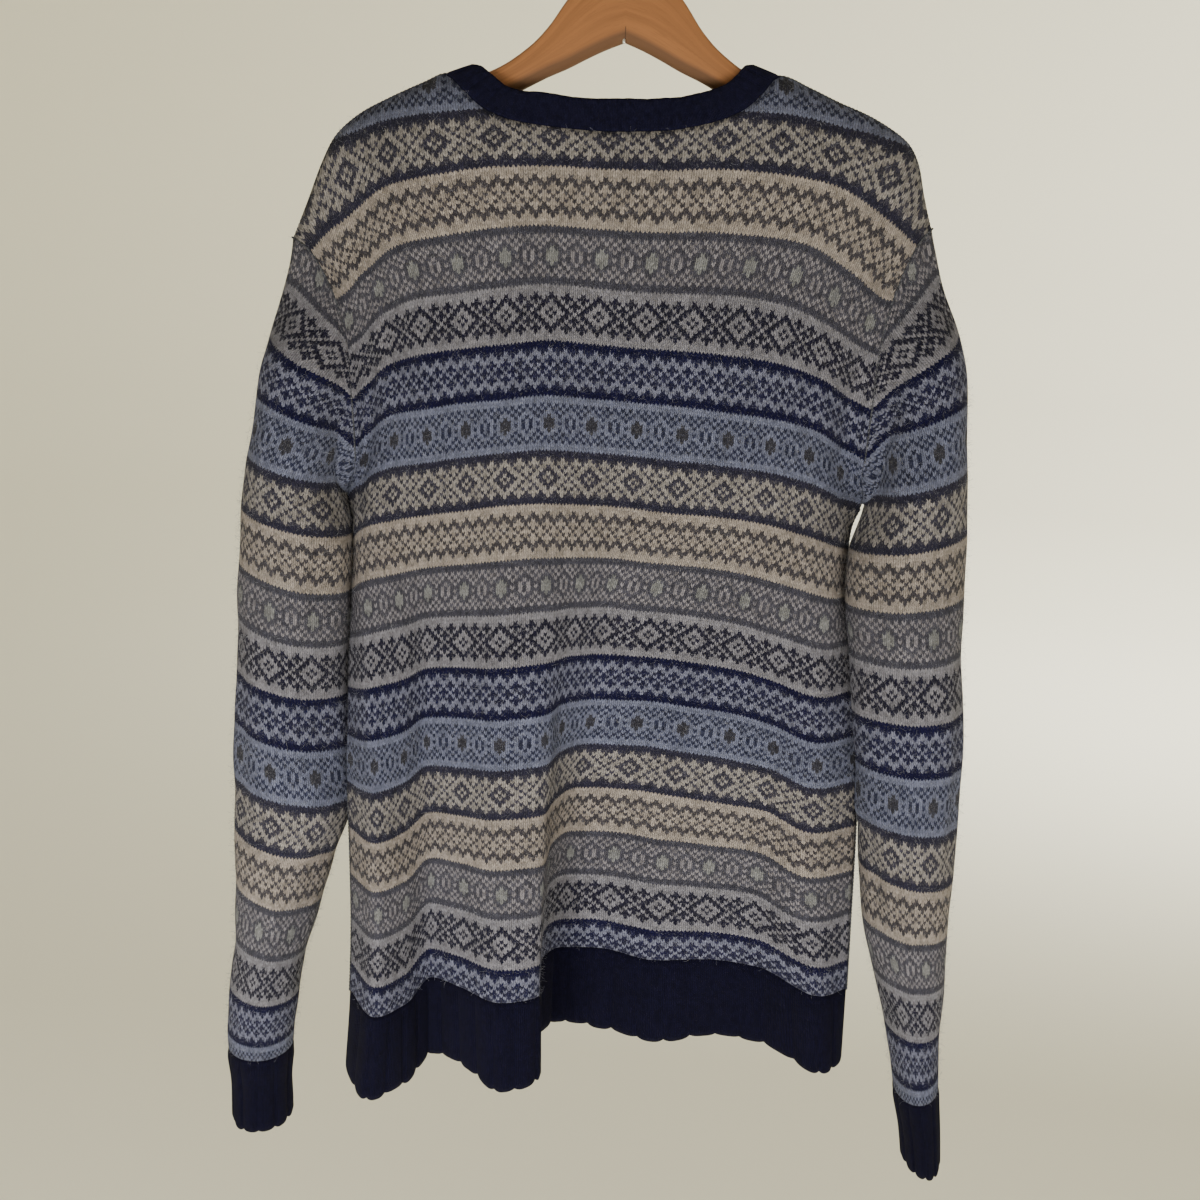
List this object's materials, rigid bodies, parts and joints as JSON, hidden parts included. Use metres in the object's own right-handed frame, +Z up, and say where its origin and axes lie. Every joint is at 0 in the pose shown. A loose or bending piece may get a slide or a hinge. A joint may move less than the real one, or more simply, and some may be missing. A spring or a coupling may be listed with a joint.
{
  "type": "fair isle jumper on a hanger",
  "caption": "Long-sleeved crew-neck jumper in banded fair isle knitting with ribbed neck, hem and cuffs, hanging open and empty on a wooden hanger with a wire hook.",
  "frame": {"origin": "the inside of the top of the wire hook, where a rod holds the hanger", "axes": "+Z up; -Y is the side that the jumper's back faces; X along the hanger"},
  "size_m": [0.6116, 0.1294, 0.9901],
  "materials": {
    "knit": "matte",
    "rib_knit": "matte",
    "hanger_wood": "satin",
    "hook_wire": "satin"
  },
  "bodies": {
    "root": {"back": "knit", "front": "knit", "sleeve_left": "knit", "sleeve_right": "knit", "neckband": "rib_knit", "hem_rib_back": "rib_knit", "hem_rib_front": "rib_knit", "cuff_left": "rib_knit", "cuff_right": "rib_knit", "hanger": "hanger_wood", "hook": "hook_wire"}
  },
  "joints": []
}
